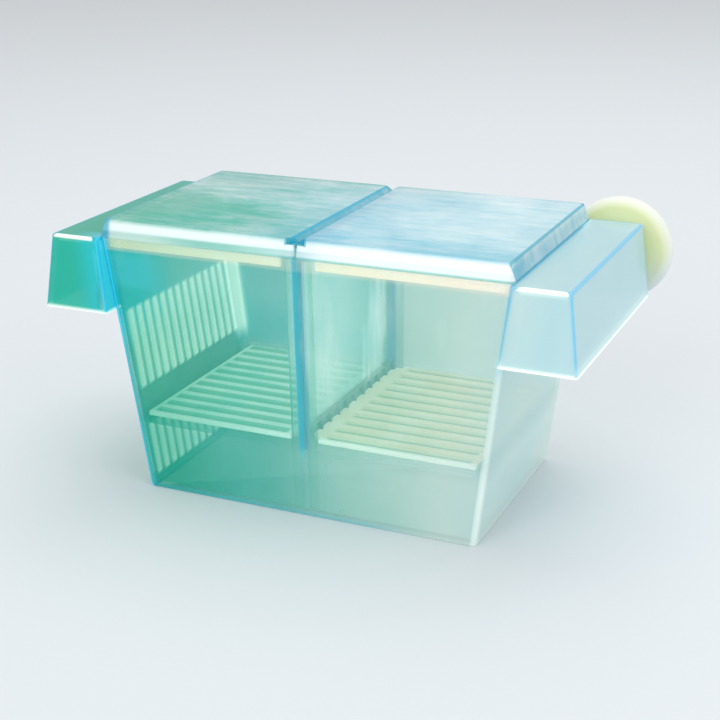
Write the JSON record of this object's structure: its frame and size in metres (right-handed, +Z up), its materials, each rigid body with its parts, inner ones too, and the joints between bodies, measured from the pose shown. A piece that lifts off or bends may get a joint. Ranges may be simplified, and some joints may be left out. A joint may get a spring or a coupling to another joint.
{
  "type": "fish breeding box",
  "caption": "Clear floating breeding box for an aquarium, with hinged half lids, a sliding divider, slotted floor grilles, end floats and suction cups.",
  "frame": {"origin": "middle of the underside of the tank floor", "axes": "+X along the box to the right-hand end, +Y to the back and the aquarium glass, +Z up"},
  "size_m": [0.2108, 0.1055, 0.1025],
  "materials": {
    "aqua_clear": "clear aqua-tinted moulded polystyrene, glossy",
    "lid_clear": "clear pale moulded polystyrene, glossy, faintly streaked",
    "divider_clear": "clear blue-edged plate, glossy",
    "grille_ivory": "pale translucent plastic, satin",
    "cup_soft": "soft ivory PVC, satin"
  },
  "bodies": {
    "tank": {"tank": "aqua_clear", "left_float": "aqua_clear", "right_float": "aqua_clear", "divider_rails": "aqua_clear"},
    "left_lid": {"left_lid": "lid_clear"},
    "right_lid": {"right_lid": "lid_clear"},
    "divider": {"divider": "divider_clear"},
    "left_grille": {"left_grille": "grille_ivory"},
    "right_grille": {"right_grille": "grille_ivory"},
    "left_suction_cup": {"left_suction_cup": "cup_soft"},
    "right_suction_cup": {"right_suction_cup": "cup_soft"}
  },
  "joints": [
    {"name": "left_lid_hinge", "type": "hinge", "parent": "tank", "child": "left_lid", "pos_m": [-0.039, 0.0468, 0.0972], "axis": [-1, 0, 0], "range_deg": [0, 95]},
    {"name": "right_lid_hinge", "type": "hinge", "parent": "tank", "child": "right_lid", "pos_m": [0.039, 0.0468, 0.0972], "axis": [-1, 0, 0], "range_deg": [0, 95]},
    {"name": "divider_slide", "type": "slide", "parent": "tank", "child": "divider", "axis": [0, 0, 1], "range_m": [0, 0.005]},
    {"name": "left_grille_lift", "type": "slide", "parent": "tank", "child": "left_grille", "axis": [0, 0, 1], "range_m": [0, 0.061]},
    {"name": "right_grille_lift", "type": "slide", "parent": "tank", "child": "right_grille", "axis": [0, 0, 1], "range_m": [0, 0.061]},
    {"name": "left_cup_slide", "type": "slide", "parent": "tank", "child": "left_suction_cup", "axis": [0, 0, -1], "range_m": [-0.01, 0.0085]},
    {"name": "right_cup_slide", "type": "slide", "parent": "tank", "child": "right_suction_cup", "axis": [0, 0, -1], "range_m": [0, 0.0185]}
  ]
}
